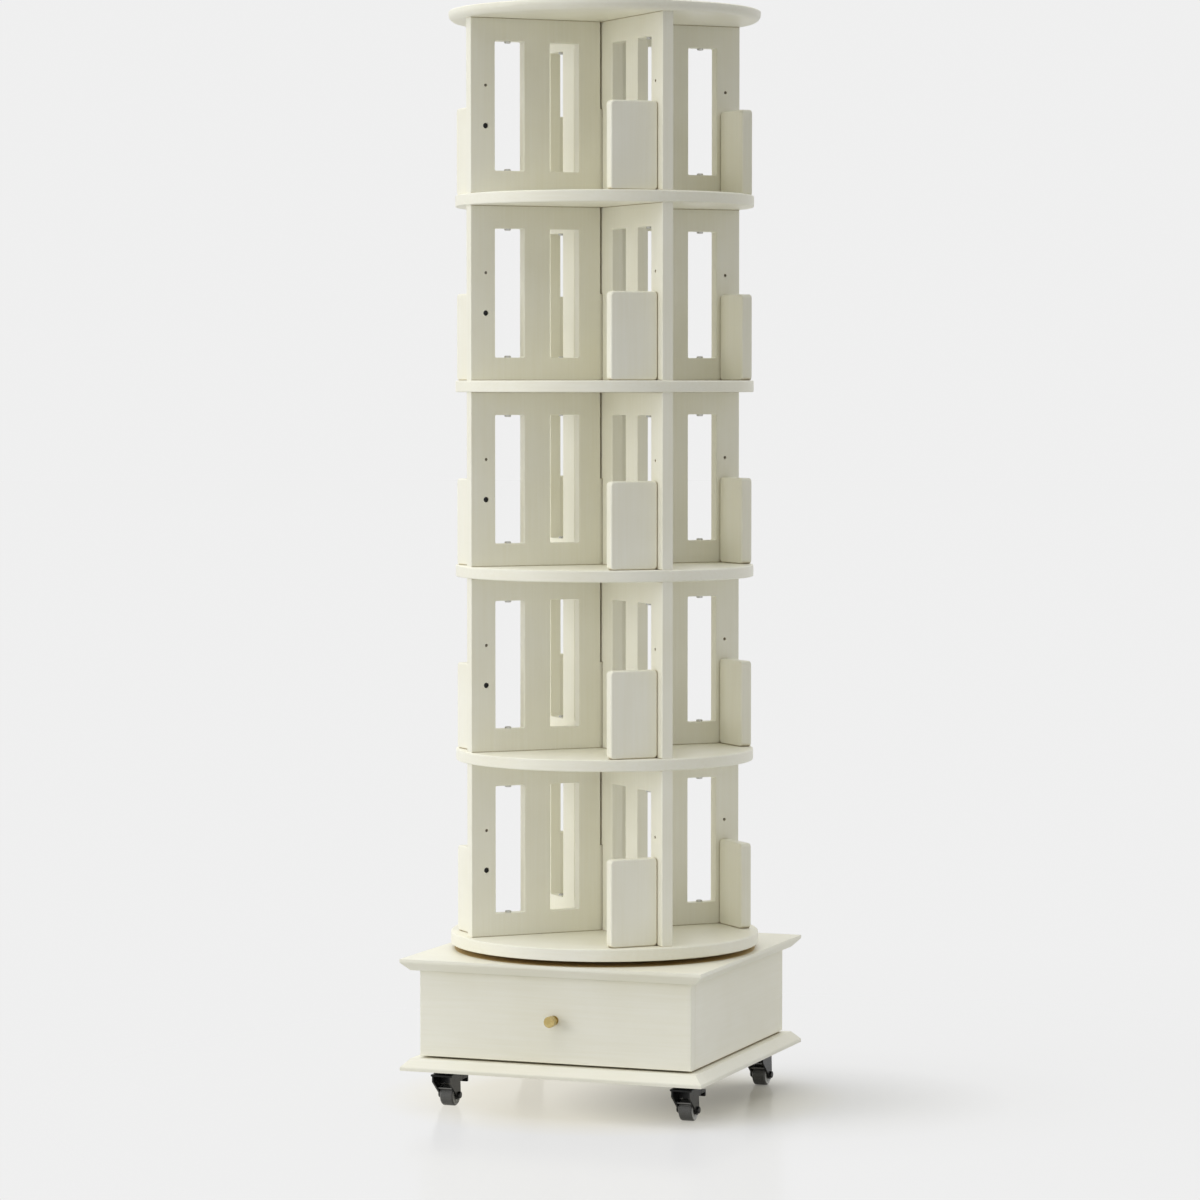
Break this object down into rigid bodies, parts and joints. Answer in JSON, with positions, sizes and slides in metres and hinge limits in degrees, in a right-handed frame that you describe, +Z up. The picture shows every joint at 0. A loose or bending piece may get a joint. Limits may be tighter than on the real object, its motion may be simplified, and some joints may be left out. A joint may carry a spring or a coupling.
{
  "type": "rotating media tower",
  "caption": "Painted wooden media tower: round shelves and slotted cross boards that turn on a square drawer base with swivel casters.",
  "frame": {"origin": "on the floor, below the tower's axis", "axes": "+Z up along the tower's axis, -Y out of the drawer front, +X to the right seen from the front"},
  "size_m": [0.46, 0.46, 1.591],
  "materials": {
    "ivory_paint": "satin paint on wood",
    "plain_wood": "planed, unpainted",
    "plywood": "sanded plywood",
    "brass": "satin",
    "zinc_steel": "zinc plated",
    "dark_steel": "blackened",
    "bearing_steel": "bright",
    "cage_plastic": "moulded",
    "black_steel": "black paint",
    "wheel_plastic": "moulded"
  },
  "bodies": {
    "base": {"base_bottom": "ivory_paint", "base_top": "ivory_paint", "left_side": "ivory_paint", "right_side": "ivory_paint", "back_panel": "ivory_paint", "drawer_left_runner": "plain_wood", "drawer_right_runner": "plain_wood", "bearing_lower_ring": "bearing_steel", "lower_ring_screws": "zinc_steel", "caster_plates": "black_steel", "caster_screws": "zinc_steel", "case_screws": "zinc_steel"},
    "tower": {"top_disc": "ivory_paint", "shelf_1": "ivory_paint", "shelf_2": "ivory_paint", "shelf_3": "ivory_paint", "shelf_4": "ivory_paint", "turntable_disc": "ivory_paint", "tier_1_lower_board": "ivory_paint", "tier_1_upper_board": "ivory_paint", "tier_2_lower_board": "ivory_paint", "tier_2_upper_board": "ivory_paint", "tier_3_lower_board": "ivory_paint", "tier_3_upper_board": "ivory_paint", "tier_4_lower_board": "ivory_paint", "tier_4_upper_board": "ivory_paint", "tier_5_lower_board": "ivory_paint", "tier_5_upper_board": "ivory_paint", "tier_1_stops": "ivory_paint", "tier_2_stops": "ivory_paint", "tier_3_stops": "ivory_paint", "tier_4_stops": "ivory_paint", "tier_5_stops": "ivory_paint", "slot_screws": "zinc_steel", "stop_screws": "dark_steel", "bearing_upper_ring": "bearing_steel", "upper_ring_screws": "zinc_steel"},
    "ball_cage": {"ball_cage": "cage_plastic", "bearing_balls": "bearing_steel"},
    "drawer": {"drawer_front": "ivory_paint", "drawer_left_side": "plain_wood", "drawer_right_side": "plain_wood", "drawer_back": "plain_wood", "drawer_bottom": "plywood", "drawer_knob": "brass", "knob_screw": "zinc_steel"},
    "front_left_caster": {"front_left_fork": "black_steel", "front_left_axle": "dark_steel"},
    "front_left_wheel": {"front_left_wheel": "wheel_plastic"},
    "front_left_brake": {"front_left_brake": "black_steel"},
    "front_right_caster": {"front_right_fork": "black_steel", "front_right_axle": "dark_steel"},
    "front_right_wheel": {"front_right_wheel": "wheel_plastic"},
    "front_right_brake": {"front_right_brake": "black_steel"},
    "back_left_caster": {"back_left_fork": "black_steel", "back_left_axle": "dark_steel"},
    "back_left_wheel": {"back_left_wheel": "wheel_plastic"},
    "back_right_caster": {"back_right_fork": "black_steel", "back_right_axle": "dark_steel"},
    "back_right_wheel": {"back_right_wheel": "wheel_plastic"}
  },
  "joints": [
    {"name": "tower_turn", "type": "hinge", "parent": "base", "child": "tower", "pos_m": [0, 0, 0.226], "axis": [0, 0, 1], "continuous": true},
    {"name": "cage_turn", "type": "hinge", "parent": "base", "child": "ball_cage", "pos_m": [0, 0, 0.226], "axis": [0, 0, 1], "continuous": true},
    {"name": "drawer_slide", "type": "slide", "parent": "base", "child": "drawer", "axis": [0, -1, 0], "range_m": [0, 0.26]},
    {"name": "front_left_swivel", "type": "hinge", "parent": "base", "child": "front_left_caster", "pos_m": [-0.184, -0.166, 0.053], "axis": [0, 0, 1], "continuous": true},
    {"name": "front_left_roll", "type": "hinge", "parent": "front_left_caster", "child": "front_left_wheel", "pos_m": [-0.184, -0.151, 0.016], "axis": [1, 0, 0], "continuous": true},
    {"name": "front_left_brake_press", "type": "hinge", "parent": "front_left_caster", "child": "front_left_brake", "pos_m": [-0.184, -0.141, 0.04], "axis": [-1, 0, 0], "range_deg": [0, 18]},
    {"name": "front_right_swivel", "type": "hinge", "parent": "base", "child": "front_right_caster", "pos_m": [0.184, -0.166, 0.053], "axis": [0, 0, 1], "continuous": true},
    {"name": "front_right_roll", "type": "hinge", "parent": "front_right_caster", "child": "front_right_wheel", "pos_m": [0.184, -0.151, 0.016], "axis": [1, 0, 0], "continuous": true},
    {"name": "front_right_brake_press", "type": "hinge", "parent": "front_right_caster", "child": "front_right_brake", "pos_m": [0.184, -0.141, 0.04], "axis": [-1, 0, 0], "range_deg": [0, 18]},
    {"name": "back_left_swivel", "type": "hinge", "parent": "base", "child": "back_left_caster", "pos_m": [-0.184, 0.166, 0.053], "axis": [0, 0, 1], "continuous": true},
    {"name": "back_left_roll", "type": "hinge", "parent": "back_left_caster", "child": "back_left_wheel", "pos_m": [-0.184, 0.181, 0.016], "axis": [1, 0, 0], "continuous": true},
    {"name": "back_right_swivel", "type": "hinge", "parent": "base", "child": "back_right_caster", "pos_m": [0.184, 0.166, 0.053], "axis": [0, 0, 1], "continuous": true},
    {"name": "back_right_roll", "type": "hinge", "parent": "back_right_caster", "child": "back_right_wheel", "pos_m": [0.184, 0.181, 0.016], "axis": [1, 0, 0], "continuous": true}
  ],
  "couplings": [
    {"joint": "cage_turn", "follows": "tower_turn", "ratio": 0.5}
  ]
}
